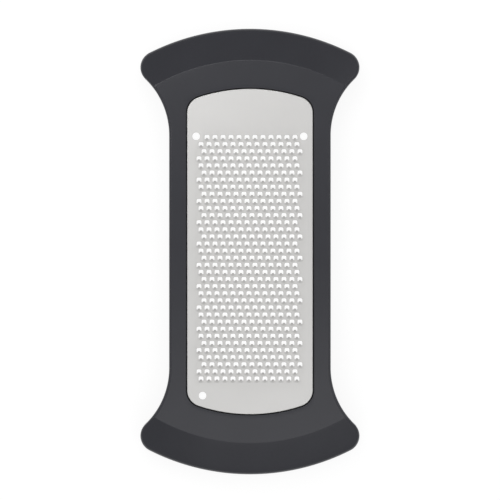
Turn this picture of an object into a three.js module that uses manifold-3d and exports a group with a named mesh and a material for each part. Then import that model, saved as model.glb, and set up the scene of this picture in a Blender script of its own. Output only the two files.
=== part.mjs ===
// Fine bowl grater: an etched steel blade clamped between two moulded shells.
// The shells make a bow-tie frame whose wide ends fall away outside a round crease.
// A ribbed soft grip under each end sits on the rim of a bowl, or on the table.
// Millimetres, +Z up, +Y along the grater towards the end that the teeth point to.
// The origin is the middle of the plane that the ribs of the grips rest on.

import * as THREE from "three";
import { LoftGeometry } from "three/addons/geometries/LoftGeometry.js";
import { mergeVertices } from "three/addons/utils/BufferGeometryUtils.js";
import Module from "manifold-3d";

// Teeth: rows of slots, each with a pointed tongue that stands up out of the sheet
const TEETH_PER_ROW = 13;
const ROW_COUNT = 35;
const SLOT_WIDTH = 2.6;
const SLOT_LENGTH = 2.2;
const TOOTH_WEB = 1.7;
const ROW_WEB = 1.62;
const TONGUE_REACH = 0.75;
const TONGUE_RISE = 0.85;
// Sideways step of each row of a group of three, in eighths of the tooth pitch
const ROW_STEPS = [0, 2, 5];
const STEPS_PER_PITCH = 8;

// Blade: a shallow pressed tray with a brim that the shells clamp
const LEFT_MARGIN = 5.18;
const RIGHT_MARGIN = 5.69;
const REAR_MARGIN = 24.9;
const FRONT_MARGIN = 18.22;
const BLADE_CORNER = 9;
const SHEET = 0.4;
const INNER_BEND = 0.2;
const BRIM_WIDTH = 2.2;
const TOOLING_HOLE = 4;
const REAR_HOLE_SIDE = 4.95;
const REAR_HOLE_END = 25.6;
const FRONT_HOLE_SIDE = 8.4;
const FRONT_HOLE_END = 10.1;

// Frame outline, seen from above
const RAIL_WIDTH = 9.1;
const LAND_WIDTH = 15.35;
const WING_BAND = 17.3;
const WING_FLARE = 15.6;
const TIP_RADIUS = 8.9;
const FLANK_RADIUS = 42.7;

// Frame section
const FRAME_HEIGHT = 22;
const WING_END_HEIGHT = 13;
const SHELL_WALL = 2.2;
const EDGE_ROUND = 1.6;
const LIP_ROUND = 0.4;
const FOOT_CHAMFER = 0.5;
const REVEAL = 0.5;
const BLADE_SINK = 0.6;
const WELD_REBATE = 1;
const FLOOR_WALL = 2;

// Rim grips
const GRIP_THICKNESS = 1.8;
const RIB_HEIGHT = 2;
const RIB_WIDTH = 1.8;
const RIB_COUNT = 3;
const PLUG_DIAMETER = 5;
const PLUG_HEAD = 6.6;
const PLUG_HEAD_HEIGHT = 1.6;
const PLUG_ANGLE = 30;
const PLUG_COUNT = 2;

// Clearances: beside a piece that slips into another, and between faces that seat
const FIT = 0.2;
const SEAT = 0.1;

// Facets for a quarter of an outline, for a full turn about the middle, and for a small round piece
const END_STEPS = 5;
const TIP_STEPS = 4;
const WING_FLANK_STEPS = 2;
const RAIL_FLANK_STEPS = 3;
const CORNER_STEPS = 3;
const EDGE_STEPS = 2;
const TURN_STEPS = 60;
const ROUND_STEPS = 8;
const HOLE_STEPS = 12;

// Sizes that follow from the driving ones
const toothPitch = SLOT_WIDTH + TOOTH_WEB;
const rowPitch = SLOT_LENGTH + ROW_WEB;
const rowSpread = TEETH_PER_ROW - 1 + Math.max(...ROW_STEPS) / STEPS_PER_PITCH;
const fieldShift = (LEFT_MARGIN - RIGHT_MARGIN) / 2;
const bladeWidth = rowSpread * toothPitch + SLOT_WIDTH + LEFT_MARGIN + RIGHT_MARGIN;
const bladeLength = (ROW_COUNT - 1) * rowPitch + SLOT_LENGTH + REAR_MARGIN + FRONT_MARGIN;
const bladeEnd = bladeLength / 2;
const firstRowY = bladeEnd - REAR_MARGIN - SLOT_LENGTH / 2;
const bend = INNER_BEND + SHEET;
const creaseRadius = bladeEnd + LAND_WIDTH;
const frameEnd = creaseRadius + WING_BAND;
const waistHalf = bladeWidth / 2 + REVEAL + RAIL_WIDTH;
const wingHalf = waistHalf + WING_FLARE;

const roofUnderside = FRAME_HEIGHT - SHELL_WALL;
const bladeTop = FRAME_HEIGHT - BLADE_SINK;
const brimTop = roofUnderside - SEAT;
const brimUnderside = brimTop - SHEET;
const windowTop = brimUnderside - SEAT;
const skirtFoot = RIB_HEIGHT;
const floorTop = skirtFoot + FLOOR_WALL;
const pocketRoof = skirtFoot + GRIP_THICKNESS + SEAT;
const trayTop = pocketRoof + FLOOR_WALL;

const windowGrow = BRIM_WIDTH + FIT;
const rebateInset = SHELL_WALL - WELD_REBATE;
const trayInset = SHELL_WALL + FIT;
const pocketInset = trayInset + FLOOR_WALL;
const gripInset = pocketInset + FIT;
const pocketInner = bladeEnd + windowGrow;
const gripInner = pocketInner + FIT;
const gripOuter = frameEnd - gripInset;
const gripMiddle = (gripInner + gripOuter) / 2;
const ribPitch = (gripOuter - gripInner) / (RIB_COUNT + 1);

const wasm = await Module();
wasm.setup();

// A closed geometry as a solid that can be joined and cut.
function toSolid(geometry) {
  const bare = new THREE.BufferGeometry().setAttribute("position", geometry.attributes.position);
  const merged = mergeVertices(bare.setIndex(geometry.index));
  return new wasm.Manifold(
    new wasm.Mesh({
      numProp: 3,
      vertProperties: merged.attributes.position.array,
      triVerts: new Uint32Array(merged.index.array),
    }),
  );
}

// A solid as a geometry again.
function toGeometry(solid) {
  const mesh = solid.getMesh();
  return new THREE.BufferGeometry()
    .setAttribute("position", new THREE.BufferAttribute(mesh.vertProperties, 3))
    .setIndex(new THREE.BufferAttribute(mesh.triVerts, 1));
}

// Points on an arc, from one angle to another, without its last point.
function arc(centre, radius, from, to, steps) {
  return Array.from({ length: steps }, (_, i) => {
    const angle = from + ((to - from) * i) / steps;
    return new THREE.Vector2(centre.x + radius * Math.cos(angle), centre.y + radius * Math.sin(angle));
  });
}

// A whole outline from its quarter, which runs from the +Y end to the +X side. It comes out anticlockwise.
function fromQuarter(quarter) {
  const mirror = (points, x, y) => points.map((p) => new THREE.Vector2(p.x * x, p.y * y));
  const right = [...quarter, ...mirror(quarter, 1, -1).reverse()];
  const left = mirror(right.slice(1, -1), -1, 1).reverse();
  return [...right, ...left].reverse();
}

// Centres of the round wing tip and of the hollow flank that runs from it into the waist.
const tipCentre = new THREE.Vector2(wingHalf - TIP_RADIUS, 0);
tipCentre.y = Math.sqrt((frameEnd - TIP_RADIUS) ** 2 - tipCentre.x ** 2);
const flankCentre = new THREE.Vector2(waistHalf + FLANK_RADIUS, tipCentre.y);
flankCentre.y -= Math.sqrt((FLANK_RADIUS + TIP_RADIUS) ** 2 - (flankCentre.x - tipCentre.x) ** 2);

// The frame's outline, drawn in by inset: end arc, tip, flank and straight waist, each tangent to the next.
// The flank has a point where it crosses the crease.
function frameOutline(inset) {
  const middle = new THREE.Vector2();
  const endAngle = tipCentre.angle();
  const tipAngle = Math.atan2(flankCentre.y - tipCentre.y, flankCentre.x - tipCentre.x);
  const flank = FLANK_RADIUS + inset;
  const away = flankCentre.length();
  const crossing = (creaseRadius ** 2 - away ** 2 - flank ** 2) / (2 * flank * away);
  const creaseAngle = flankCentre.angle() + Math.acos(crossing);
  return fromQuarter([
    ...arc(middle, frameEnd - inset, Math.PI / 2, endAngle, END_STEPS),
    ...arc(tipCentre, TIP_RADIUS - inset, endAngle, tipAngle, TIP_STEPS),
    ...arc(flankCentre, flank, tipAngle + Math.PI, creaseAngle, WING_FLANK_STEPS),
    ...arc(flankCentre, flank, creaseAngle, Math.PI, RAIL_FLANK_STEPS),
    new THREE.Vector2(waistHalf - inset, flankCentre.y),
  ]);
}

// The blade's outline, let out by grow: end arc about the middle, round corner and straight side.
function bladeOutline(grow, cornerSteps = TIP_STEPS + WING_FLANK_STEPS + RAIL_FLANK_STEPS) {
  const middle = new THREE.Vector2();
  const corner = new THREE.Vector2(bladeWidth / 2 - BLADE_CORNER, 0);
  corner.y = Math.sqrt((bladeEnd - BLADE_CORNER) ** 2 - corner.x ** 2);
  const endAngle = corner.angle();
  return fromQuarter([
    ...arc(middle, bladeEnd + grow, Math.PI / 2, endAngle, END_STEPS),
    ...arc(corner, BLADE_CORNER + grow, endAngle, 0, cornerSteps),
    new THREE.Vector2(bladeWidth / 2 + grow, corner.y),
  ]);
}

// Height of the frame's top face: flat inside the crease, a cone outside it.
function topHeight(p) {
  const slope = (FRAME_HEIGHT - WING_END_HEIGHT) / WING_BAND;
  return FRAME_HEIGHT - slope * Math.max(0, p.length() - creaseRadius);
}

// An outline raised to a height, which may be a function of the place.
function raise(outline, height) {
  return outline.map((p) => new THREE.Vector3(p.x, p.y, typeof height === "function" ? height(p) : height));
}

// The line where the frame's top breaks at the crease, between two outlines of as many points.
// Along the rails, where nothing crosses the crease, it keeps close to the outer outline.
function creaseLine(outer, inner) {
  const leastShare = 0.06;
  return outer.map((from, i) => {
    const across = inner[i].clone().sub(from);
    const along = from.dot(across);
    const beyond = Math.max(0, from.lengthSq() - creaseRadius ** 2);
    const share = (-along - Math.sqrt(along ** 2 - across.lengthSq() * beyond)) / across.lengthSq();
    return from.clone().addScaledVector(across, Math.max(share, leastShare));
  });
}

// A closed ring of rings: the last section is joined to the first.
function ringLoft(sections) {
  return new LoftGeometry([...sections, sections[0]]);
}

// An outline with straight walls from one height to another.
function prism(outline, low, high) {
  return new THREE.ExtrudeGeometry(new THREE.Shape(outline), {
    depth: high - low,
    bevelEnabled: false,
  }).translate(0, 0, low);
}

// A profile of radius and height turned about the vertical axis.
function turned(profile, steps) {
  const points = profile.map(([radius, height]) => new THREE.Vector2(radius, height));
  return new THREE.LatheGeometry(points, steps).rotateX(Math.PI / 2);
}

// A closed band about the middle, between two radii and two heights.
function band(inner, outer, low, high) {
  return turned([[inner, low], [outer, low], [outer, high], [inner, high], [inner, low]], TURN_STEPS);
}

// Where the plugs of both grips stand, on the middle line of the pads.
const plugPlaces = [0, Math.PI].flatMap((end) =>
  Array.from({ length: PLUG_COUNT }, (_, i) => {
    const turn = THREE.MathUtils.degToRad(PLUG_ANGLE * (i - (PLUG_COUNT - 1) / 2));
    return new THREE.Vector2(0, gripMiddle).rotateAround(new THREE.Vector2(), end + turn);
  }),
);

// Upper shell: top face with its window for the blade, and a skirt with a rebate for the lower shell
function makeUpperShell() {
  const edge = Array.from({ length: EDGE_STEPS + 1 }, (_, step) => {
    const turn = (step * Math.PI) / 2 / EDGE_STEPS;
    const outline = frameOutline(EDGE_ROUND * (1 - Math.cos(turn)));
    return raise(outline, (p) => topHeight(p) - EDGE_ROUND * (1 - Math.sin(turn)));
  });
  const lip = bladeOutline(REVEAL + LIP_ROUND);
  const window = bladeOutline(REVEAL);
  const inside = frameOutline(SHELL_WALL);
  const underTop = (p) => topHeight(p) - SHELL_WALL;
  const rebateTop = floorTop + SEAT;
  const shell = ringLoft([
    raise(frameOutline(FOOT_CHAMFER), skirtFoot),
    raise(frameOutline(0), skirtFoot + FOOT_CHAMFER),
    ...edge,
    raise(creaseLine(frameOutline(EDGE_ROUND), lip), FRAME_HEIGHT),
    raise(lip, FRAME_HEIGHT),
    raise(window, FRAME_HEIGHT - LIP_ROUND),
    raise(window, roofUnderside),
    raise(creaseLine(inside, window), roofUnderside),
    raise(inside, underTop),
    raise(inside, rebateTop),
    raise(frameOutline(rebateInset), rebateTop),
    raise(frameOutline(rebateInset), skirtFoot),
  ]);
  return toGeometry(toSolid(shell));
}

// Lower shell: floor, the wall round the window that carries the blade's brim, and a tray over each grip
function makeLowerShell() {
  const rim = frameOutline(rebateInset + FIT);
  const windowOuter = bladeOutline(windowGrow);
  const windowInner = bladeOutline(-SHEET);
  let shell = toSolid(
    ringLoft([
      raise(rim, skirtFoot),
      raise(rim, floorTop),
      raise(windowOuter, floorTop),
      raise(windowOuter, windowTop),
      raise(windowInner, windowTop),
      raise(windowInner, skirtFoot),
    ]),
  );
  const wings = toSolid(prism(frameOutline(trayInset), skirtFoot, trayTop));
  const window = toSolid(prism(windowInner, 0, FRAME_HEIGHT));
  const trays = toSolid(band(pocketInner - FLOOR_WALL, frameEnd, skirtFoot, trayTop)).intersect(wings);
  const hollow = toSolid(prism(frameOutline(pocketInset), 0, pocketRoof));
  const pockets = toSolid(band(pocketInner, frameEnd, 0, pocketRoof)).intersect(hollow);
  shell = shell.add(trays).subtract(window).subtract(pockets);
  const bore = PLUG_DIAMETER / 2 + FIT;
  for (const place of plugPlaces) {
    const hole = turned([[0, 0], [bore, 0], [bore, FRAME_HEIGHT], [0, FRAME_HEIGHT]], ROUND_STEPS);
    shell = shell.subtract(toSolid(hole.translate(place.x, place.y, 0)));
  }
  return toGeometry(shell);
}

// Grips: a soft pad in each tray, with round ribs below and plugs pushed up through the tray
function makeGrips() {
  const padTop = skirtFoot + GRIP_THICKNESS;
  const ribs = Array.from({ length: RIB_COUNT }, (_, i) => {
    const inner = gripInner + ribPitch * (i + 1) - RIB_WIDTH / 2;
    const outer = inner + RIB_WIDTH;
    return [[inner, skirtFoot], [inner, 0], [outer, 0], [outer, skirtFoot]];
  });
  const start = [gripInner, skirtFoot];
  const back = [[frameEnd, skirtFoot], [frameEnd, padTop], [gripInner, padTop]];
  const ring = toSolid(turned([start, ...ribs.flat(), ...back, start], TURN_STEPS));
  let grips = ring.intersect(toSolid(prism(frameOutline(gripInset), 0, padTop)));
  const head = trayTop + SEAT;
  for (const place of plugPlaces) {
    const plug = turned(
      [
        [0, padTop - GRIP_THICKNESS / 2],
        [PLUG_DIAMETER / 2, padTop - GRIP_THICKNESS / 2],
        [PLUG_DIAMETER / 2, head],
        [PLUG_HEAD / 2, head],
        [PLUG_DIAMETER / 2, head + PLUG_HEAD_HEIGHT],
        [0, head + PLUG_HEAD_HEIGHT],
      ],
      ROUND_STEPS,
    );
    grips = grips.add(toSolid(plug.translate(place.x, place.y, 0)));
  }
  const frontFirst = grips.decompose().sort((a, b) => a.boundingBox().min[1] - b.boundingBox().min[1]);
  return frontFirst.map(toGeometry);
}

// Blade: slots, tongues and tooling holes in the flat, then the bend, the side and the brim

// Middles of the slots of one row. A slot that would run into a tooling hole is left out.
function slotsOfRow(row, holes) {
  const step = ROW_STEPS[row % ROW_STEPS.length] / STEPS_PER_PITCH;
  const y = firstRowY - row * rowPitch;
  const clear = (TOOLING_HOLE + toothPitch) / 2;
  return Array.from({ length: TEETH_PER_ROW }, (_, i) => (i + step - rowSpread / 2) * toothPitch)
    .map((x) => new THREE.Vector2(x + fieldShift, y))
    .filter((slot) => holes.every((hole) => hole.distanceTo(slot) > clear));
}

// Triangles between two lines of points that both run in +X, the first one above.
function zip(upper, lower) {
  const triangles = [];
  let i = 0;
  let j = 0;
  while (i < upper.length - 1 || j < lower.length - 1) {
    const next = i < upper.length - 1 ? upper[i + 1].x : Infinity;
    const under = j < lower.length - 1 ? lower[j + 1].x : Infinity;
    if (next <= under) triangles.push([upper[i], lower[j], upper[++i]]);
    else triangles.push([upper[i], lower[j], lower[++j]]);
  }
  return triangles;
}

// A point of the field's edge as the margin is divided: the first and last rows bow out a hair,
// so that no three of their points are in line and none is passed over.
function bowed(p) {
  const hair = 1e-3;
  return new THREE.Vector2(p.x, p.y * (1 + hair * (1 - (p.x / bladeWidth) ** 2)));
}

function makeBlade() {
  const at = (x, y, z = bladeTop) => new THREE.Vector3(x, y, z);
  const under = (p) => (p.z === bladeTop ? p.clone().setZ(bladeTop - SHEET) : p);
  const holePlaces = [
    new THREE.Vector2(-bladeWidth / 2 + REAR_HOLE_SIDE, bladeEnd - REAR_HOLE_END),
    new THREE.Vector2(bladeWidth / 2 - REAR_HOLE_SIDE, bladeEnd - REAR_HOLE_END),
    new THREE.Vector2(-bladeWidth / 2 + FRONT_HOLE_SIDE, -bladeEnd + FRONT_HOLE_END),
  ];
  const rows = Array.from({ length: ROW_COUNT }, (_, row) => {
    const slots = slotsOfRow(row, holePlaces);
    const sides = slots.flatMap((slot) => [slot.x - SLOT_WIDTH / 2, slot.x + SLOT_WIDTH / 2]);
    const across = [sides[0] - TOOTH_WEB / 2, ...sides, sides.at(-1) + TOOTH_WEB / 2];
    const rear = slots[0].y + SLOT_LENGTH / 2;
    const front = slots[0].y - SLOT_LENGTH / 2;
    return {
      upper: across.map((x) => at(x, rear)),
      lower: across.map((x) => at(x, front)),
      tips: slots.map((slot) => at(slot.x, front + TONGUE_REACH, bladeTop + TONGUE_RISE)),
    };
  });

  // The webs and tongues of each row, the strips between rows and, round those, the plain margin
  const flat = [];
  const loops = [];
  rows.forEach(({ upper, lower, tips }, row) => {
    for (let i = 0; i < upper.length - 1; i += 2) {
      flat.push([upper[i], lower[i], lower[i + 1]], [upper[i], lower[i + 1], upper[i + 1]]);
    }
    tips.forEach((tip, i) => {
      const [left, right] = [2 * i + 1, 2 * i + 2];
      flat.push([tip, lower[left], lower[right]]);
      loops.push([upper[left], lower[left], tip, lower[right], upper[right]]);
    });
    if (row + 1 < rows.length) flat.push(...zip(lower, rows[row + 1].upper));
  });
  const rings = holePlaces.map((place) =>
    raise(arc(place, TOOLING_HOLE / 2, 0, 2 * Math.PI, HOLE_STEPS), bladeTop),
  );
  loops.push(...rings);
  const fieldEdge = [
    ...rows[0].upper,
    ...rows.flatMap(({ upper, lower }) => [upper.at(-1), lower.at(-1)]).slice(1),
    ...rows.at(-1).lower.slice(0, -1).reverse(),
    ...rows.flatMap(({ upper, lower }) => [upper[0], lower[0]]).slice(1, -1).reverse(),
  ];
  const outline = raise(bladeOutline(-bend, CORNER_STEPS), bladeTop);
  const corners = [outline, fieldEdge, rings].flat(2);
  const margin = THREE.ShapeUtils.triangulateShape(outline, [fieldEdge.map(bowed), ...rings]);
  flat.push(...margin.map((face) => face.map((i) => corners[i])));

  const faces = flat.flatMap(([a, b, c]) => [a, b, c, under(c), under(b), under(a)]);
  for (const loop of loops) {
    loop.forEach((p, i) => {
      const q = loop[(i + 1) % loop.length];
      if (under(p) !== p) faces.push(p, q, under(p));
      if (under(q) !== q) faces.push(q, under(q), under(p));
    });
  }
  const side = (grow, z) => raise(bladeOutline(grow, CORNER_STEPS), z);
  const shoulder = bend * (1 - Math.SQRT1_2);
  const rim = new LoftGeometry([
    side(BRIM_WIDTH, brimUnderside),
    side(BRIM_WIDTH, brimTop),
    side(0, brimTop),
    side(0, bladeTop - bend),
    side(-shoulder, bladeTop - shoulder),
    side(-bend, bladeTop),
  ]);
  const inside = new LoftGeometry([
    side(-bend, bladeTop - SHEET),
    side(-SHEET, bladeTop - bend),
    side(-SHEET, brimUnderside),
    side(BRIM_WIDTH, brimUnderside),
  ]);
  const skin = new THREE.BufferGeometry().setFromPoints(faces);
  return toGeometry(toSolid(joined([skin, rim, inside])));
}

// Open surfaces whose edges meet, as one geometry of loose triangles.
function joined(surfaces) {
  const corners = surfaces.flatMap((surface) => {
    const loose = surface.index ? surface.toNonIndexed() : surface;
    return Array.from(loose.attributes.position.array);
  });
  return new THREE.BufferGeometry().setAttribute("position", new THREE.Float32BufferAttribute(corners, 3));
}

const moulded = new THREE.MeshStandardMaterial({ color: 0x434449, roughness: 0.55, metalness: 0 });
const mouldedUnder = new THREE.MeshStandardMaterial({ color: 0x35363a, roughness: 0.65, metalness: 0 });
const softGrip = new THREE.MeshStandardMaterial({ color: 0x2b2c2f, roughness: 0.9, metalness: 0 });
const steel = new THREE.MeshStandardMaterial({ color: 0xcfcecb, roughness: 0.35, metalness: 1 });

function piece(name, geometry, material) {
  const mesh = new THREE.Mesh(geometry, material);
  mesh.name = name;
  return mesh;
}

const [frontGrip, rearGrip] = makeGrips();
const grater = new THREE.Group();
grater.add(
  piece("upper_shell", makeUpperShell(), moulded),
  piece("lower_shell", makeLowerShell(), mouldedUnder),
  piece("blade", makeBlade(), steel),
  piece("rim_grip_front", frontGrip, softGrip),
  piece("rim_grip_rear", rearGrip, softGrip),
);

export default grater;
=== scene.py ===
"""Looks of a fine bowl grater: an etched steel blade in a dark bow-tie frame with ribbed grips.

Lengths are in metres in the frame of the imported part: +X across, +Y along the grater towards the
end that the teeth point to, +Z up out of the toothed face, and zero where the ribs rest.
"""

import logging
import math
from collections.abc import Callable
from dataclasses import dataclass, field
from enum import Enum
from functools import cached_property

import bmesh
import bpy
import numpy as np
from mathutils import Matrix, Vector
from mathutils.geometry import delaunay_2d_cdt

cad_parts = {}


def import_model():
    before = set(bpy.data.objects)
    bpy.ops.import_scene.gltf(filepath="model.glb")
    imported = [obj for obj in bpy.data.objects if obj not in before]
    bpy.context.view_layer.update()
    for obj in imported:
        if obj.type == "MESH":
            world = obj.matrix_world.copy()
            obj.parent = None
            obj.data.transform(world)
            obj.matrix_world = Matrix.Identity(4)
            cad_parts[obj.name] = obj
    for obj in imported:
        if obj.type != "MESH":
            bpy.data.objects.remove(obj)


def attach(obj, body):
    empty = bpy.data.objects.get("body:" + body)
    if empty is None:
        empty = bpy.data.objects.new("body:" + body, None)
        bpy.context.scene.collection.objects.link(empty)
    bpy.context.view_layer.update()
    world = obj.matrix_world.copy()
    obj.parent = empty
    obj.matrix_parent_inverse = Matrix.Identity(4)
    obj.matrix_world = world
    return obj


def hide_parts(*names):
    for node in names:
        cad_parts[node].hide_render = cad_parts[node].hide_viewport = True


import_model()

LOG = logging.getLogger("bowl_grater")
MM = 0.001
# An edge that turns by more degrees than this is shaded sharp.
SHARP_ANGLE = 32.0
# A noise swings about this value.
NOISE_MIDDLE = 0.5
# A Mix node's sockets for colours share their names with others, so they go by number.
MIX_COLOURS = (6, 7)
MIX_RESULT = 2

Array = np.ndarray
Numbers = float | Array
Pair = tuple[float, float]
Triple = tuple[float, float, float]


class End(Enum):
    """The two wide ends of the frame, by the side of the middle that they lie on."""

    FRONT = -1
    REAR = 1


class Mark(Enum):
    """Names of the point attributes that the finishes read."""

    # Above zero, worn and polished edges; below zero, painted shade in the groove round the blade.
    EDGE = "edge"
    # How far the steel is etched; on the teeth's ramps and tongues it is also painted shade.
    ETCH = "etch"
    GLOW = "glow"


def at_height(plan: Array, height: Numbers) -> Array:
    """Plan points lifted to a height, one for all or one for each."""
    return np.column_stack([plan, np.broadcast_to(height, len(plan))])


def quarter_turns(steps: int) -> Array:
    """Angles from zero to a right angle, both included."""
    return np.linspace(0.0, math.pi / 2, steps + 1)


def rounding(steps: int) -> Array:
    """Rows over a quarter turn a: a round edge's insets 1 - sin a and 1 - cos a, and its wear sin 2a."""
    turn = quarter_turns(steps)
    return np.column_stack([1 - np.sin(turn), 1 - np.cos(turn), np.sin(2 * turn)])


def crowded(count: int) -> Array:
    """Numbers from -1 to 1 that crowd towards both: the sine of even angles over half a turn."""
    return np.sin(np.linspace(-math.pi / 2, math.pi / 2, count))


def quarter_round(distance: Array, radius: float) -> Array:
    """Rise of a quarter round: the root of 1 - (1 - distance / radius)^2, and 1 past the radius."""
    return np.sqrt(1 - np.clip(1 - distance / radius, 0.0, 1.0) ** 2)


@dataclass(frozen=True)
class Outline:
    """A closed plan curve, kept as points and their outward normals.

    Drawing the curve in moves each point against its normal, which is exact for arcs and lines.
    """

    points: Array
    normals: Array

    def inset(self, depth: float) -> Array:
        """The curve drawn in by depth, or let out where depth is negative."""
        return self.points - depth * self.normals

    def raised(self, depth: float, height: float) -> Array:
        """The curve drawn in by depth, at one height."""
        return at_height(self.inset(depth), height)


@dataclass(frozen=True)
class Arc:
    """A stretch of a quarter outline: an arc about a centre, hollow where its side is -1."""

    centre: Pair
    radius: float
    start: float
    stop: float
    steps: int
    side: int = 1

    def trace(self) -> tuple[Array, Array]:
        """Points at even angles from start to stop, without the last, and their outward normals.

        Returns:
            Points and normals, each of shape (steps, 2).
        """
        angle = np.linspace(self.start, self.stop, self.steps, endpoint=False)
        ray = np.column_stack([np.cos(angle), np.sin(angle)])
        return np.array(self.centre) + self.radius * ray, self.side * ray


def outline_of(arcs: list[Arc], straight: Pair, steps: int) -> Outline:
    """A whole outline from the quarter between the +Y axis and the +X axis.

    The quarter is its arcs in order and then a straight side down to the X axis. It is
    mirrored in Y, then both in X, each time without the points that lie on the axis.

    Args:
        arcs: The arcs of the quarter, from the +Y axis on.
        straight: The start of the straight side, which runs in -Y.
        steps: Number of steps along the straight side.

    Returns:
        The closed outline, clockwise seen from above.
    """
    side = np.column_stack([np.full(steps + 1, straight[0]), np.linspace(straight[1], 0.0, steps + 1)])
    traces = [*(arc.trace() for arc in arcs), (side, np.tile([1.0, 0.0], (steps + 1, 1)))]

    def whole(quarter: Array) -> Array:
        """The quarter and its three mirror images, joined into one loop."""
        right = np.concatenate([quarter, (quarter * [1, -1])[-2::-1]])
        return np.concatenate([right, (right * [-1, 1])[-2:0:-1]])

    return Outline(*(whole(np.concatenate(part)) for part in zip(*traces)))


def corner_centre(half_width: float, end: float, radius: float) -> Pair:
    """Centre of a round corner that is tangent to a straight side and inside an end arc."""
    x = half_width - radius
    return x, math.sqrt((end - radius) ** 2 - x**2)


@dataclass(frozen=True)
class GraterPlan:
    """Sizes that the pieces share, and the outlines that follow from them.

    The blade's face is its field of teeth with a margin on each side. Round it lies the reveal, a
    narrow groove, and then the rails along the sides and the level lands at the ends. Outside the
    lands a round crease starts the wing bands, which fall away to the end height and flare out.
    """

    teeth_per_row: int = 13
    row_count: int = 35
    slot_width: float = 2.6 * MM
    slot_length: float = 2.2 * MM
    tooth_pitch: float = 4.3 * MM
    row_pitch: float = 3.82 * MM
    row_steps: tuple[int, ...] = (0, 2, 5)
    steps_per_pitch: int = 8
    left_margin: float = 5.18 * MM
    right_margin: float = 5.69 * MM
    rear_margin: float = 24.9 * MM
    front_margin: float = 18.22 * MM
    blade_corner: float = 9.0 * MM
    sheet: float = 0.4 * MM
    reveal: float = 0.5 * MM
    rail_width: float = 9.1 * MM
    land_width: float = 15.35 * MM
    wing_band: float = 17.3 * MM
    wing_flare: float = 15.6 * MM
    tip_radius: float = 8.9 * MM
    flank_radius: float = 42.7 * MM
    height: float = 22.0 * MM
    end_height: float = 13.0 * MM
    foot: float = 2.0 * MM
    wall: float = 2.2 * MM
    end_steps: int = 48
    tip_steps: int = 28
    flank_steps: int = 48
    side_steps: int = 24
    wing_steps: int = 64

    @property
    def row_spread(self) -> float:
        """Pitches from the first tooth of the leftmost row to the last of the rightmost."""
        return self.teeth_per_row - 1 + max(self.row_steps) / self.steps_per_pitch

    @property
    def blade_half(self) -> float:
        """Half the width of the blade's face."""
        teeth = self.row_spread * self.tooth_pitch + self.slot_width
        return (teeth + self.left_margin + self.right_margin) / 2

    @property
    def field_shift(self) -> float:
        """X of the middle of the field of teeth, which lies a little nearer one side."""
        return (self.left_margin - self.right_margin) / 2

    @property
    def blade_end(self) -> float:
        """Radius of the blade's round ends, half its length."""
        rows = (self.row_count - 1) * self.row_pitch + self.slot_length
        return (rows + self.rear_margin + self.front_margin) / 2

    @property
    def first_row(self) -> float:
        """Y of the row of teeth nearest the rear end."""
        return self.blade_end - self.rear_margin - self.slot_length / 2

    @property
    def crease(self) -> float:
        """Radius of the round crease where the ends start to fall away."""
        return self.blade_end + self.land_width

    @property
    def frame_end(self) -> float:
        """Radius of the frame's round ends, half its length."""
        return self.crease + self.wing_band

    @property
    def waist_half(self) -> float:
        """Half the width of the frame at its waist."""
        return self.blade_half + self.reveal + self.rail_width

    @property
    def slope(self) -> float:
        """Fall of the ends for each unit of radius outside the crease."""
        return (self.height - self.end_height) / self.wing_band

    @property
    def tip_centre(self) -> Pair:
        """Centre of the round wing tip, tangent inside the end arc."""
        return corner_centre(self.waist_half + self.wing_flare, self.frame_end, self.tip_radius)

    @property
    def flank_centre(self) -> Pair:
        """Centre of the hollow flank, tangent to the wing tip and to the straight waist."""
        x, tip = self.waist_half + self.flank_radius, self.tip_centre
        return x, tip[1] - math.sqrt((self.flank_radius + self.tip_radius) ** 2 - (x - tip[0]) ** 2)

    @cached_property
    def frame_outline(self) -> Outline:
        """The frame from above: end arc, round tip, hollow flank and straight waist."""
        tip, flank = self.tip_centre, self.flank_centre
        end_angle = math.atan2(tip[1], tip[0])
        tip_angle = math.atan2(flank[1] - tip[1], flank[0] - tip[0])
        arcs = [
            Arc((0.0, 0.0), self.frame_end, math.pi / 2, end_angle, self.end_steps),
            Arc(tip, self.tip_radius, end_angle, tip_angle, self.tip_steps),
            Arc(flank, self.flank_radius, tip_angle + math.pi, math.pi, self.flank_steps, side=-1),
        ]
        return outline_of(arcs, (self.waist_half, flank[1]), self.side_steps)

    @cached_property
    def blade_outline(self) -> Outline:
        """The blade from above, with as many points as the frame: end arc, corner, straight side."""
        corner = corner_centre(self.blade_half, self.blade_end, self.blade_corner)
        end_angle = math.atan2(corner[1], corner[0])
        arcs = [
            Arc((0.0, 0.0), self.blade_end, math.pi / 2, end_angle, self.end_steps),
            Arc(corner, self.blade_corner, end_angle, 0.0, self.tip_steps + self.flank_steps),
        ]
        return outline_of(arcs, (self.blade_half, corner[1]), self.side_steps)

    def half_span(self, inset: float, radius: Array) -> Array:
        """Half the angle, about the middle, that the drawn-in frame spans at each radius of an end.

        A circle of that radius meets the tip arc where it passes outside the tip's junction with the
        flank, and otherwise the flank arc. With the arc's centre at distance d and angle a from the
        Y axis, the meeting point lies at a plus or minus acos((r^2 + d^2 - arc^2) / (2 r d)).

        Args:
            inset: How far the frame's outline is drawn in.
            radius: Radii of any shape.

        Returns:
            Half angles of the same shape.
        """

        def meeting(centre: Pair, arc: float, side: int) -> Array:
            """Angle from the Y axis at which the circles meet.

            Args:
                centre: Centre of the arc.
                arc: Its radius.
                side: The side of the centre that they meet on, 1 away from the Y axis or -1 towards it.

            Returns:
                Angles of the shape that radius has.
            """
            away = math.hypot(*centre)
            share = (radius**2 + away**2 - arc**2) / (2 * radius * away)
            return math.atan2(*centre) + side * np.arccos(np.clip(share, -1.0, 1.0))

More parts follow.
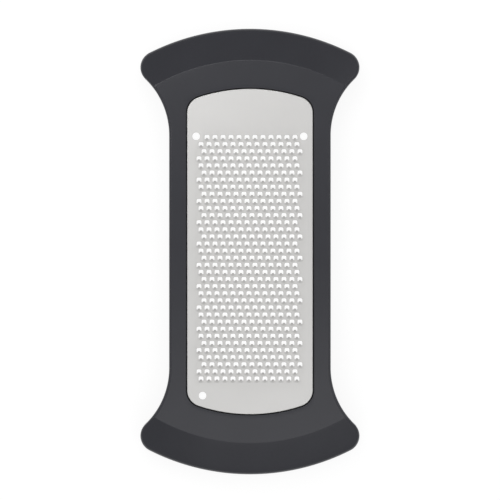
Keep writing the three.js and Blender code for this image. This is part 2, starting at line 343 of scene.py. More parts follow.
        tip, flank = np.array(self.tip_centre), np.array(self.flank_centre)
        tip_arc, flank_arc = self.tip_radius - inset, self.flank_radius + inset
        junction = tip + (flank - tip) * tip_arc / (self.tip_radius + self.flank_radius)
        on_tip = meeting(self.tip_centre, tip_arc, 1)
        on_flank = meeting(self.flank_centre, flank_arc, -1)
        return np.where(radius > np.linalg.norm(junction), on_tip, on_flank)

    def end_region(self, inset: float, inner: float, end: End) -> Array:
        """Plan loop of the part of one end that lies outside a circle about the middle.

        Args:
            inset: How far the frame's outline is drawn in.
            inner: Radius of the circle.
            end: Which end.

        Returns:
            Plan points of shape (count, 2).
        """
        outer = self.frame_end - inset
        radius = inner + (outer - inner) * np.sin(quarter_turns(self.wing_steps))
        half = self.half_span(inset, radius)
        inside = np.linspace(-half[0], half[0], self.end_steps + 1)[1:-1]
        outside = np.linspace(half[-1], -half[-1], self.end_steps + 1)[1:-1]
        angle = np.concatenate([inside, half, outside, -half[::-1]])
        near, far = np.full_like(inside, inner), np.full_like(outside, outer)
        reach = np.concatenate([near, radius, far, radius[::-1]])
        return np.column_stack([reach * np.sin(angle), end.value * reach * np.cos(angle)])


def quads(numbers: Array, rows_meet: bool = False, columns_meet: bool = False) -> Array:
    """Quads between neighbours in a grid of point numbers.

    Args:
        numbers: Point numbers of shape (rows, columns).
        rows_meet: Whether the last row is joined to the first.
        columns_meet: Whether the last column is joined to the first.

    Returns:
        Quads of shape (count, 4).
    """
    n = np.concatenate([numbers, numbers[:1]]) if rows_meet else numbers
    n = np.concatenate([n, n[:, :1]], axis=1) if columns_meet else n
    return np.stack([n[:-1, :-1], n[:-1, 1:], n[1:, 1:], n[1:, :-1]], axis=-1).reshape(-1, 4)


def fill_between(loops: list[Array]) -> Array:
    """Triangles between an outline and its holes.

    The points are triangulated with the loops as fixed edges, over the whole of their hull. A
    triangle is kept where a ray from its middle in +X crosses the loops an odd number of times.

    Args:
        loops: Plan points of the outline and then of each hole.

    Returns:
        Triangles as numbers into the loops laid end to end.
    """
    whole_hull, tolerance = 0, 1e-6
    plan = np.concatenate(loops) / MM
    numbers = np.split(np.arange(len(plan)), np.cumsum([len(loop) for loop in loops])[:-1])
    edges = np.concatenate([np.column_stack([loop, np.roll(loop, -1)]) for loop in numbers])
    filled = delaunay_2d_cdt(list(map(Vector, plan)), edges.tolist(), [], whole_hull, tolerance)
    triangles = np.array(filled[2])
    middle = plan[triangles].mean(axis=1)[:, None]
    start, stop = plan[edges[:, 0]], plan[edges[:, 1]]
    rise = stop[:, 1] - start[:, 1]
    spans = (start[:, 1] > middle[..., 1]) != (stop[:, 1] > middle[..., 1])
    along = (middle[..., 1] - start[:, 1]) / np.where(rise == 0.0, 1.0, rise)
    crossed = spans & (middle[..., 0] < start[:, 0] + along * (stop[:, 0] - start[:, 0]))
    return triangles[crossed.sum(axis=1) % 2 == 1]


def marked_mesh(
    name: str, points: Array, patches: list[Array], mark: Mark, marks: Array
) -> bpy.types.Mesh:
    """A mesh whose points carry a mark.

    Args:
        name: The mesh's name.
        points: Places of shape (count, 3).
        patches: Arrays of faces, each as numbers of its corners.
        mark: The attribute that the marks go to.
        marks: One value for each point.

    Returns:
        The new mesh.
    """
    mesh = bpy.data.meshes.new(name)
    mesh.from_pydata(points, [], [face for patch in patches for face in patch.tolist()])
    layer = mesh.attributes.new(mark.value, "FLOAT", "POINT")
    layer.data.foreach_set("value", marks.astype(np.float32))
    return mesh


def placed(name: str, mesh: bpy.types.Mesh, sharp: float = SHARP_ANGLE) -> bpy.types.Object:
    """Shade a finished mesh smooth up to an angle and link it to the scene at the origin.

    Args:
        name: The object's name.
        mesh: The finished mesh.
        sharp: Angle in degrees above which an edge is shaded sharp.

    Returns:
        The new object.
    """
    mesh.shade_smooth()
    mesh.set_sharp_from_angle(angle=math.radians(sharp))
    piece = bpy.data.objects.new(name, mesh)
    bpy.context.scene.collection.objects.link(piece)
    return piece


@dataclass
class Patchwork:
    """Patches of a surface, with a mark on each point, that are merged where they meet."""

    points: list[Array] = field(default_factory=list)
    marks: list[Array] = field(default_factory=list)
    faces: list[Array] = field(default_factory=list)
    merge: float = 0.002 * MM
    cell: float = 0.001 * MM
    cell_shift: float = 0.137

    def patch(self, points: Array, faces: Array, marks: Numbers = 0.0) -> None:
        """Add a patch.

        Args:
            points: Places of shape (count, 3).
            faces: Numbers of the corners of each face.
            marks: The points' mark, one value or one for each point.
        """
        self.faces.append(faces + sum(map(len, self.points)))
        self.points.append(points)
        self.marks.append(np.broadcast_to(marks, len(points)))

    def grid(self, points: Array, marks: Numbers = 0.0, **joins: bool) -> None:
        """Add a grid of quads.

        Args:
            points: Places of shape (rows, columns, 3).
            marks: The points' mark, one value or one for each point.
            joins: Whether the rows or the columns meet, as quads takes it.
        """
        layout = points.shape[:-1]
        numbers = np.arange(math.prod(layout)).reshape(layout)
        marks = np.broadcast_to(marks, layout).reshape(-1)
        self.patch(points.reshape(-1, 3), quads(numbers, **joins), marks)

    def level(self, loops: list[Array], height: float) -> None:
        """Add level triangles between an outline and the holes in it."""
        self.patch(at_height(np.concatenate(loops), height), fill_between(loops))

    def mesh(self, name: str, mark: Mark, sharp: float = SHARP_ANGLE) -> bpy.types.Object:
        """Merge the patches into one object with outward faces.

        Args:
            name: The object's name.
            mark: The attribute that the points' marks go to.
            sharp: Angle in degrees above which an edge is shaded sharp.

        Returns:
            The new object, linked to the scene at the origin.
        """
        points, marks = np.concatenate(self.points), np.concatenate(self.marks)
        mesh = marked_mesh(name, points, self.faces, mark, marks)
        worked = bmesh.new()
        worked.from_mesh(mesh)
        bmesh.ops.remove_doubles(worked, verts=worked.verts, dist=self.merge)
        bmesh.ops.recalc_face_normals(worked, faces=worked.faces)
        worked.to_mesh(mesh)
        worked.free()
        return placed(name, mesh, sharp)

    def sheet(self, name: str, mark: Mark, drops: Array) -> bpy.types.Object:
        """Merge the patches as the upper skin of a sheet, and close it with a lower skin and walls.

        Points become one where they fall into the same cell of a fine grid, which is shifted a
        little so that no boundary of its cells runs through round sizes. Faces are turned so that
        their normal points away from the drop to the lower skin. An edge that only one face uses
        is on the border of the sheet or of a hole in it, and gets a wall.

        Args:
            name: The object's name.
            mark: The attribute that the points' marks go to.
            drops: From each point to the one below it on the lower skin.

        Returns:
            The sheet as one closed mesh, linked to the scene at the origin.
        """
        points, marks = np.concatenate(self.points), np.concatenate(self.marks)
        cells = np.floor(points / self.cell + self.cell_shift).astype(np.int64)
        _, first, number = np.unique(cells, axis=0, return_index=True, return_inverse=True)
        points, drops, marks, number = points[first], drops[first], marks[first], number.reshape(-1)
        upper: list[Array] = []
        rims: list[Array] = []
        for faces in (number[patch] for patch in self.faces):
            corner = points[faces]
            normal = np.cross(corner[:, 1] - corner[:, 0], corner[:, 2] - corner[:, 0])
            inward = (normal * drops[faces].sum(axis=1)).sum(-1) > 0
            upper.append(np.where(inward[:, None], faces[:, ::-1], faces))
            rims.append(np.stack([upper[-1], np.roll(upper[-1], -1, axis=1)], axis=-1).reshape(-1, 2))
        count, edges = len(points), np.concatenate(rims)
        start, stop = edges[~np.isin(edges @ [count, 1], edges @ [1, count])].T
        walls = np.column_stack([stop, start, start + count, stop + count])
        patches = [*upper, *(faces[:, ::-1] + count for faces in upper), walls]
        skins = np.concatenate([points, points + drops])
        return placed(name, marked_mesh(name, skins, patches, mark, np.tile(marks, 2)))


def math_pair(operation: str) -> tuple[Callable, Callable]:
    """An operator on shader values and its reflected form, each of which adds a Math node.

    Args:
        operation: The Math node's operation.

    Returns:
        The methods for a value before the operator and for a value after it.
    """

    def before(self: "Value", other: "Value | float") -> "Value":
        """The operation on self and other."""
        return self.tree.node("ShaderNodeMath", {"operation": operation}, {0: self, 1: other})

    def after(self: "Value", other: float) -> "Value":
        """The operation on other and self."""
        return self.tree.node("ShaderNodeMath", {"operation": operation}, {0: other, 1: self})

    return before, after


@dataclass(frozen=True)
class Value:
    """A shader socket that takes part in Python arithmetic by adding Math nodes."""

    tree: "ShaderTree"
    socket: bpy.types.NodeSocket

    __add__, __radd__ = math_pair("ADD")
    __sub__, __rsub__ = math_pair("SUBTRACT")
    __mul__, __rmul__ = math_pair("MULTIPLY")


@dataclass(frozen=True)
class Noise:
    """A noise with scale lumps to the metre and finer detail on them, stretched along the axes."""

    scale: float
    detail: float
    stretch: Triple = (1.0, 1.0, 1.0)


class ShaderTree:
    """The nodes of one material or world, built from Python expressions."""

    def __init__(self, owner: bpy.types.Material | bpy.types.World) -> None:
        """Start an empty tree.

        Args:
            owner: The material or world that its nodes belong to.
        """
        owner.use_nodes = True
        self.nodes = owner.node_tree.nodes
        self.links = owner.node_tree.links
        self.nodes.clear()

    def node(
        self,
        kind: str,
        settings: dict[str, object] | None = None,
        inputs: dict[int | str, object] | None = None,
        output: int | str = 0,
    ) -> Value:
        """Add a node.

        Args:
            kind: The node's type.
            settings: Its own settings, which are set first.
            inputs: Values or links of its sockets, by number or name.
            output: The socket that is given back, by number or name.

        Returns:
            The wrapped output, or the node's first input where it has no output.
        """
        made = self.nodes.new(kind)
        for name, value in (settings or {}).items():
            setattr(made, name, value)
        for socket, value in (inputs or {}).items():
            if isinstance(value, Value):
                self.links.new(value.socket, made.inputs[socket])
            else:
                made.inputs[socket].default_value = value
        return Value(self, made.outputs[output] if len(made.outputs) else made.inputs[0])

    def noise(self, noise: Noise) -> Value:
        """A noise from 0 to 1 on Object coordinates.

        Args:
            noise: Its scale, detail and stretch.

        Returns:
            The noise's value.
        """
        place = self.node("ShaderNodeTexCoord", output="Object")
        place = self.node("ShaderNodeMapping", {}, {"Vector": place, "Scale": noise.stretch})
        inputs = {"Vector": place, "Scale": noise.scale, "Detail": noise.detail}
        return self.node("ShaderNodeTexNoise", {}, inputs)

    def spread(self, value: Value, low: float, high: float) -> Value:
        """A value's range from low to high, eased to the range from 0 to 1."""
        inputs = {"Value": value, "From Min": low, "From Max": high}
        return self.node("ShaderNodeMapRange", {"interpolation_type": "SMOOTHSTEP"}, inputs)

    def blend(self, share: Value, *colours: Triple | Value) -> Value:
        """A colour between two others.

        Args:
            share: How far it is from the first to the second, from 0 to 1.
            colours: The two colours, each as a value or as numbers.

        Returns:
            The colour between them.
        """
        ends = [colour if isinstance(colour, Value) else (*colour, 1.0) for colour in colours]
        inputs = {0: share, **dict(zip(MIX_COLOURS, ends))}
        return self.node("ShaderNodeMix", {"data_type": "RGBA"}, inputs, MIX_RESULT)

    def mark(self, mark: Mark) -> Value:
        """A point attribute of the piece."""
        return self.node("ShaderNodeAttribute", {"attribute_name": mark.value}, output="Fac")

    def relief(self, height: Value, distance: float, strength: float) -> Value:
        """A normal tilted by a height that stands for distance at 1."""
        inputs = {"Height": height, "Distance": distance, "Strength": strength}
        return self.node("ShaderNodeBump", {}, inputs)

    def surface(self, shader: Value) -> None:
        """Give a shader to the material's output."""
        self.node("ShaderNodeOutputMaterial", {}, {"Surface": shader})


@dataclass(frozen=True)
class Finish:
    """A surface of the grater, of which each kind says what the shader's sockets get."""

    name: str

    def sockets(self, tree: ShaderTree) -> dict[str, object]:
        """Values and links of the shader's sockets."""
        raise NotImplementedError

    def material(self) -> bpy.types.Material:
        """Make a material whose shader has the finish's sockets.

        Returns:
            The new material.
        """
        material = bpy.data.materials.new(self.name)
        tree = ShaderTree(material)
        tree.surface(tree.node("ShaderNodeBsdfPrincipled", {}, self.sockets(tree)))
        return material


@dataclass(frozen=True)
class MouldedPlastic(Finish):
    """Matte moulded plastic: a fine even grain, faint flow clouds, edges a little polished, and painted
    shade in the groove.
    """

    deep: Triple
    pale: Triple
    # Near-black colour of painted shade in the groove round the blade.
    painted_groove_shade: Triple = (0.003, 0.003, 0.0035)
    roughness: float = 0.28
    gloss: float = 0.46
    clouds: Noise = Noise(55.0, 3.0)
    grain: Noise = Noise(7000.0, 2.0)
    cloud_share: float = 0.55
    grain_share: float = 0.45
    edge_share: float = 0.16
    shade_range: Pair = (0.32, 0.72)
    groove_shade_range: Pair = (0.0, 0.6)
    grain_dulling: float = 0.08
    edge_polish: float = 0.06
    groove_shade_dulling: float = 0.5
    grain_depth: float = 0.0035 * MM
    relief: float = 0.5

    def sockets(self, tree: ShaderTree) -> dict[str, object]:
        """Sockets of the plastic.

        Its colour drifts between deep and pale with the flow of the plastic, over a spark-eroded
        grain in relief, with smoother, paler edges, and painted shade, near black and rougher,
        where the mark is below zero.

        Args:
            tree: The material's nodes.

        Returns:
            Values and links by the sockets' names.
        """
        edge, clouds, grain = tree.mark(Mark.EDGE), tree.noise(self.clouds), tree.noise(self.grain)
        shade = self.cloud_share * clouds + self.grain_share * grain + self.edge_share * edge
        clean = tree.blend(tree.spread(shade, *self.shade_range), self.deep, self.pale)
        # Painted shade in the groove: how far the mark is below zero.
        groove_shade = tree.spread(-1.0 * edge, *self.groove_shade_range)
        grained = self.roughness + self.grain_dulling * (grain - NOISE_MIDDLE)
        return {
            "Base Color": tree.blend(groove_shade, clean, self.painted_groove_shade),
            "Roughness": grained - self.edge_polish * edge + self.groove_shade_dulling * groove_shade,
            "Specular IOR Level": self.gloss,
            "Normal": tree.relief(grain, self.grain_depth, self.relief),
        }


@dataclass(frozen=True)
class SoftRubber(Finish):
    """Dull moulded rubber with a dusty bloom and the rub of use on its ribs."""

    deep: Triple
    pale: Triple
    roughness: float = 0.86
    gloss: float = 0.25
    bloom: Noise = Noise(160.0, 4.0)
    pores: Noise = Noise(2600.0, 1.0)
    bloom_share: float = 0.6
    pore_share: float = 0.4
    rub_share: float = 0.2
    shade_range: Pair = (0.35, 0.8)
    rub_polish: float = 0.12
    pore_dulling: float = 0.06
    pore_depth: float = 0.03 * MM
    relief: float = 0.4

    def sockets(self, tree: ShaderTree) -> dict[str, object]:
        """Sockets of the rubber, near black and greyer where dust and rubbing have dulled it.

        Args:
            tree: The material's nodes.

        Returns:
            Values and links by the sockets' names.
        """
        bloom, pores, rub = tree.noise(self.bloom), tree.noise(self.pores), tree.mark(Mark.EDGE)
        shade = self.bloom_share * bloom + self.pore_share * pores + self.rub_share * rub
        return {
            "Base Color": tree.blend(tree.spread(shade, *self.shade_range), self.deep, self.pale),
            "Roughness": self.roughness - self.rub_polish * rub + self.pore_dulling * pores,
            "Specular IOR Level": self.gloss,
            "Normal": tree.relief(pores, self.pore_depth, self.relief),
        }


@dataclass(frozen=True)
class EtchedSteel(Finish):
    """Satin stainless sheet with a fine rolling grain along its length and duller etched edges.

    The etched tone also paints shade on the teeth's ramps and tongues.
    """

    sheet: Triple
    # Etched tone, which on the teeth's ramps and tongues also stands for painted shade.
    etched: Triple
    roughness: float = 0.52
    streaks: Noise = Noise(2400.0, 3.0, (1.0, 0.03, 1.0))
    clouds: Noise = Noise(70.0, 3.0)
    pits: Noise = Noise(9000.0, 2.0)
    streak_share: float = 0.5
    cloud_share: float = 0.5
    drift: float = 0.05
    pit_share: float = 0.24
    etch_and_shade_range: Pair = (0.15, 1.0)
    streak_dulling: float = 0.1
    etch_and_shade_dulling: float = 0.12
    streak_depth: float = 0.004 * MM
    pit_depth_share: float = 0.4
    relief: float = 0.35

    def sockets(self, tree: ShaderTree) -> dict[str, object]:
        """Sockets of the steel.

        Its colour drifts with long fine streaks and faint clouds, and its roughness with the
        streaks. It is greyer and rougher where the acid or the grinding has worked, and on the
        teeth's ramps and tongues this darker tone is partly painted shade.

        Args:
            tree: The material's nodes.

        Returns:
            Values and links by the sockets' names.
        """
        etch, streaks = tree.mark(Mark.ETCH), tree.noise(self.streaks)
        clouds, pits = tree.noise(self.clouds), tree.noise(self.pits)
        # Share of the etched tone: etching, and on the ramps and tongues also painted shade.
        worked = tree.spread(etch + self.pit_share * (pits - NOISE_MIDDLE), *self.etch_and_shade_range)
        dark, light = (
            tuple(factor * part for part in self.sheet) for factor in (1 - self.drift, 1 + self.drift)
        )
        shade = self.streak_share * streaks + self.cloud_share * clouds
        tone = tree.blend(shade, dark, light)
        streaked = self.roughness + self.streak_dulling * (streaks - NOISE_MIDDLE)
        return {
            "Base Color": tree.blend(worked, tone, self.etched),
            "Metallic": 1.0,
            "Roughness": streaked + self.etch_and_shade_dulling * worked,
            "Normal": tree.relief(streaks + self.pit_depth_share * pits, self.streak_depth, self.relief),
        }


def dressed(piece: bpy.types.Object, nodes: tuple[str, ...], finish: Finish) -> None:
    """Give a piece its finish and put it in the place of its solids.

    Args:
        piece: The finished piece.
        nodes: The solids that it stands for.
        finish: The surface that it gets.
    """
    piece.data.materials.append(finish.material())
    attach(piece, "root")
    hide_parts(*nodes)


@dataclass
class UpperShell:
    """The moulded frame: skirt, round edge, top face with its crease, and the window's lip."""

    plan: GraterPlan
    finish: MouldedPlastic
    edge_round: float = 1.6 * MM
    lip_round: float = 0.4 * MM
    foot_round: float = 0.5 * MM
    crease_ease: float = 0.22 * MM
    crease_mark: float = 0.15
    # Mark of the groove's ledge, which gets painted shade.
    groove_shade_mark: float = -1.0
    ledge_drop: float = 1.7 * MM
    ledge_gap: float = 0.04 * MM
    ledge_width: float = 3.0 * MM
    rebate: float = 1.0 * MM
    rebate_top: float = 4.1 * MM
    foot_steps: int = 4
    skirt_shares: tuple[float, ...] = (0.2, 0.45, 0.7, 0.9)
    edge_steps: int = 10
    lip_steps: int = 5
    crease_lines: int = 9
    band_lines: int = 6
    land_lines: int = 6
    least_share: float = 0.006

    def top_height(self, points: Array) -> Array:
        """Height of the top face over plan points.

        Level inside the crease and a cone outside it. Within crease_ease of the crease the fall
        is a parabola, (r - crease + ease) squared over four times ease, so the slope eases in.

        Args:
            points: Plan points of shape (..., 2).

        Returns:
            Heights of shape (...).
        """
        beyond = np.linalg.norm(points, axis=-1) - self.plan.crease
        ease = self.crease_ease
        eased = (np.clip(beyond + ease, 0.0, 2 * ease) ** 2) / (4 * ease)
        return self.plan.height - self.plan.slope * (eased + np.maximum(beyond - ease, 0.0))

    def top_lines(self, outer: Array, inner: Array) -> tuple[Array, Array]:
        """Lines of the top face from its round edge in to the window's lip.

        Each line is a share of the way from an outer to an inner point. In the ends the middle
        lines lie on circles about the middle, set closely over the crease; the share for radius r
        solves |outer + share (inner - outer)| = r. Along the rails the lines lie close to the edge.

        Args:
            outer: Plan points of the round edge.
            inner: Plan points of the lip, as many.

        Returns:
            Plan points of shape (lines, count, 2), and marks that rise to crease_mark on the crease.
        """
        across = inner - outer
        square, along = (across**2).sum(-1), (outer * across).sum(-1)
        offsets = self.crease_ease * np.linspace(1.0, -1.0, self.crease_lines)
        beyond = (outer**2).sum(-1) - (self.plan.crease + offsets[:, None]) ** 2
        root = np.sqrt(np.maximum(along**2 - square * beyond, 0.0))
        crossing = np.where(beyond > 0.0, (-along - root) / square, 0.0)
        steps = np.arange(1, self.crease_lines + 1)[:, None] + self.band_lines
        crossing = np.maximum(crossing, self.least_share * steps)
        band = crossing[0] * np.linspace(0.0, 1.0, self.band_lines + 1)[1:-1, None]
        inwards = np.linspace(0.0, 1.0, self.land_lines + 2)[1:-1, None]
        land = crossing[-1] + (1.0 - crossing[-1]) * inwards
        shares = np.concatenate([band, crossing, land])
        polish = self.crease_mark * (1.0 - np.abs(offsets) / self.crease_ease)
        marks = np.pad(polish, (len(band), len(land)))[:, None]
        in_ends = np.linalg.norm(outer, axis=-1) > self.plan.crease
        return outer + shares[..., None] * across, marks * in_ends

    def build(self) -> bpy.types.Object:
        """Loft the shell as a closed ring of rings.

        The section runs up the skirt from a round foot, over the round edge, in across the top
        face, down the window's lip and back under the roof to the rebate inside the skirt.

        Returns:
            The shell as one closed mesh.
        """
        plan, frame_line, blade_line = self.plan, self.plan.frame_outline, self.plan.blade_outline
        rings: list[Array] = []
        marks: list[Array] = []

        def ring(points: Array, height: Numbers, mark: Numbers = 0.0) -> None:
            """Add one ring of plan points at their heights."""
            rings.append(at_height(points, height))
            marks.append(np.broadcast_to(mark, len(points)))

        for inset, rise, _ in rounding(self.foot_steps):
            ring(frame_line.inset(self.foot_round * inset), plan.foot + self.foot_round * rise)
        skirt = plan.foot + self.foot_round
        eaves = self.top_height(frame_line.points) - self.edge_round
        for share in self.skirt_shares:
            ring(frame_line.points, skirt + share * (eaves - skirt))
        for fall, inset, wear in rounding(self.edge_steps):
            points = frame_line.inset(self.edge_round * inset)
            ring(points, self.top_height(points) - self.edge_round * fall, wear)
        lip = blade_line.inset(-plan.reveal - self.lip_round)
        for points, mark in zip(*self.top_lines(frame_line.inset(self.edge_round), lip)):
            ring(points, self.top_height(points), mark)
        for inset, fall, wear in rounding(self.lip_steps):
            points = blade_line.inset(-plan.reveal - self.lip_round * inset)
            ring(points, plan.height - self.lip_round * fall, wear)
        ledge, roof = plan.height - self.ledge_drop, plan.height - plan.wall
        # The groove's ledge round the blade, darkened with painted shade.
        ring(blade_line.inset(-plan.reveal), ledge, self.groove_shade_mark)
        ring(blade_line.inset(-self.ledge_gap), ledge, self.groove_shade_mark)
        ring(blade_line.inset(-self.ledge_gap), roof)
        ring(blade_line.inset(-self.ledge_width), roof)
        inside, rebate = frame_line.inset(plan.wall), frame_line.inset(plan.wall - self.rebate)
        ring(inside, self.top_height(inside) - plan.wall)
        ring(inside, self.rebate_top)
        ring(rebate, self.rebate_top)
        ring(rebate, plan.foot)
        shell = Patchwork()
        shell.grid(np.array(rings), np.array(marks), rows_meet=True, columns_meet=True)
        return shell.mesh("frame_top", Mark.EDGE)

    def dress(self, piece: bpy.types.Object) -> None:
        """Give the shell its plastic."""
        dressed(piece, ("upper_shell",), self.finish)


@dataclass
class LowerShell:
    """The moulding under the frame: floor, window wall that carries the blade, and grip pockets."""

    plan: GraterPlan
    finish: MouldedPlastic
    brim_width: float = 2.4 * MM
    rim_inset: float = 1.4 * MM
    shoulder: float = 4.0 * MM
    shoulder_gap: float = 0.2 * MM
    window_top: float = 19.2 * MM
    floor_top: float = 5.9 * MM
    pocket_inset: float = 4.4 * MM
    pocket_roof: float = 3.9 * MM
    soft_edge: float = 0.5 * MM
    soft_steps: int = 4

    def build(self) -> bpy.types.Object:
        """Join the floor, its round edges, the window wall and the two pockets.

        A pocket's outline is that of the frame drawn in, cut off by a circle round the blade.

        Returns:
            The shell as one closed mesh.
        """
        plan, frame_line, blade_line = self.plan, self.plan.frame_outline, self.plan.blade_outline
        shrink, grow, wear = (rounding(self.soft_steps) * [self.soft_edge, self.soft_edge, 1.0]).T
        rim = [
            frame_line.raised(self.rim_inset + depth, plan.foot + climb)
            for depth, climb in zip(shrink, grow)
        ]
        inside = plan.wall + self.shoulder_gap
        walls = [
            frame_line.raised(self.rim_inset, self.shoulder),
            frame_line.raised(inside, self.shoulder),
            frame_line.raised(inside, self.floor_top),
            blade_line.raised(-self.brim_width, self.floor_top),
            blade_line.raised(-self.brim_width, self.window_top),
            blade_line.raised(plan.sheet, self.window_top),
        ]
        mouth = [
            blade_line.raised(plan.sheet - depth, plan.foot + climb)
            for depth, climb in zip(grow, shrink)
        ]
        marks = np.concatenate([wear, np.zeros(len(walls)), wear])[:, None]
        shell = Patchwork()
        shell.grid(np.array(rim + walls + mouth), marks, columns_meet=True)
        inner = plan.blade_end + self.brim_width
        pockets = [plan.end_region(self.pocket_inset, inner, end) for end in End]
        shell.level([rim[0][:, :2], mouth[-1][:, :2], *pockets], plan.foot)
        for loop in pockets:
            sides = [at_height(loop, height) for height in (plan.foot, self.pocket_roof)]
            shell.grid(np.array(sides), columns_meet=True)
            shell.level([loop], self.pocket_roof)
        return shell.mesh("frame_base", Mark.EDGE)

    def dress(self, piece: bpy.types.Object) -> None:
        """Give the shell its plastic."""
        dressed(piece, ("lower_shell",), self.finish)


@dataclass
class RimGrip:
    """A soft pad under one end, with round ribs that follow the bowl's rim."""

    plan: GraterPlan
    finish: SoftRubber
    end: End
    inset: float = 4.6 * MM
    clear: float = 2.6 * MM
    thickness: float = 1.8 * MM
    rib_height: float = 2.0 * MM
    rib_width: float = 1.8 * MM
    rib_end: float = 1.6 * MM
    rib_count: int = 3
    soft_edge: float = 0.35 * MM
    columns: int = 120
    rib_lines: int = 19
    edge_lines: Triple = (0.0, 0.3, 1.0)
    floor_lines: int = 4
    floor_clear: float = 0.2
    sharp: float = 40.0

    @property
    def reach(self) -> Pair:
        """Inner and outer radius of the pad."""
        return self.plan.blade_end + self.clear, self.plan.frame_end - self.inset

    @property
    def rib_pitch(self) -> float:
        """Distance between ribs, and from the last of them to the pad's edge."""
        return (self.reach[1] - self.reach[0]) / (self.rib_count + 1)

    def ribs(self, radius: Array, gap: Array) -> Array:
        """Rise of the ribs over the pad's underside, from 0 to 1.

        Each rib is a rounded bump, (1 - u^4) to the power a half for u from -1 to 1 across its
        width, and it dies away in a quarter round near the pad's sides.

        Args:
            radius: Distance from the middle.
            gap: Distance along the rib to the nearer side of the pad.

        Returns:
            The rise, of gap's shape.
        """
        out = radius - self.reach[0]
        nearest = np.clip(np.round(out / self.rib_pitch), 1, self.rib_count)
        across = 2 * (out - nearest * self.rib_pitch) / self.rib_width
        return np.sqrt(np.clip(1 - across**4, 0.0, 1.0)) * quarter_round(gap, self.rib_end)

    def rows(self) -> Array:
        """Radii of the rows of the pad: close over the ribs' round flanks and at its edges.

        Returns:
            Radii of shape (rows,), from the inner edge to the outer.
        """
        inner, outer = self.reach
        over = crowded(self.rib_lines) * self.rib_width / 2
        ribs = (inner + self.rib_pitch * np.arange(1, self.rib_count + 1))[:, None] + over
        edges = self.soft_edge * np.array(self.edge_lines)
        floor = np.linspace(inner, outer, self.floor_lines * (self.rib_count + 1) + 1)[1:-1]
        pitches = (floor - inner) / self.rib_pitch
        floor = floor[np.abs(pitches - np.round(pitches)) > self.floor_clear]
        return np.sort(np.concatenate([ribs.ravel(), inner + edges, outer - edges, floor]))

    def build(self) -> bpy.types.Object:
        """Make the pad over a grid of radius and share of the span, closed by a level top.

        Returns:
            The pad as one closed mesh.
        """
        inner, outer = self.reach
        radius = self.rows()[:, None]
        half = self.plan.half_span(self.inset, radius)
        share = crowded(self.columns + 1)
        angle, gap = half * share, radius * half * (1 - np.abs(share))
        ribs = self.ribs(radius, gap)
        rim = np.minimum(np.minimum(radius - inner, outer - radius), gap)
        lift = self.soft_edge * (1 - quarter_round(rim, self.soft_edge))
        x, y = radius * np.sin(angle), self.end.value * radius * np.cos(angle)
        below = np.stack([x, y, self.plan.foot - self.rib_height * ribs + lift], axis=-1)
        above = np.stack([x, y, np.full_like(x, self.plan.foot + self.thickness)], axis=-1)
        pad = Patchwork()
        pad.grid(below, ribs)
        pad.grid(above)
        for side in (np.s_[0], np.s_[-1], np.s_[:, 0], np.s_[:, -1]):
            pad.grid(np.array([below[side], above[side]]))
        return pad.mesh(f"grip_{self.end.name.lower()}", Mark.EDGE, self.sharp)

    def dress(self, piece: bpy.types.Object) -> None:
        """Give the pad its rubber."""
        dressed(piece, (f"rim_grip_{self.end.name.lower()}",), self.finish)


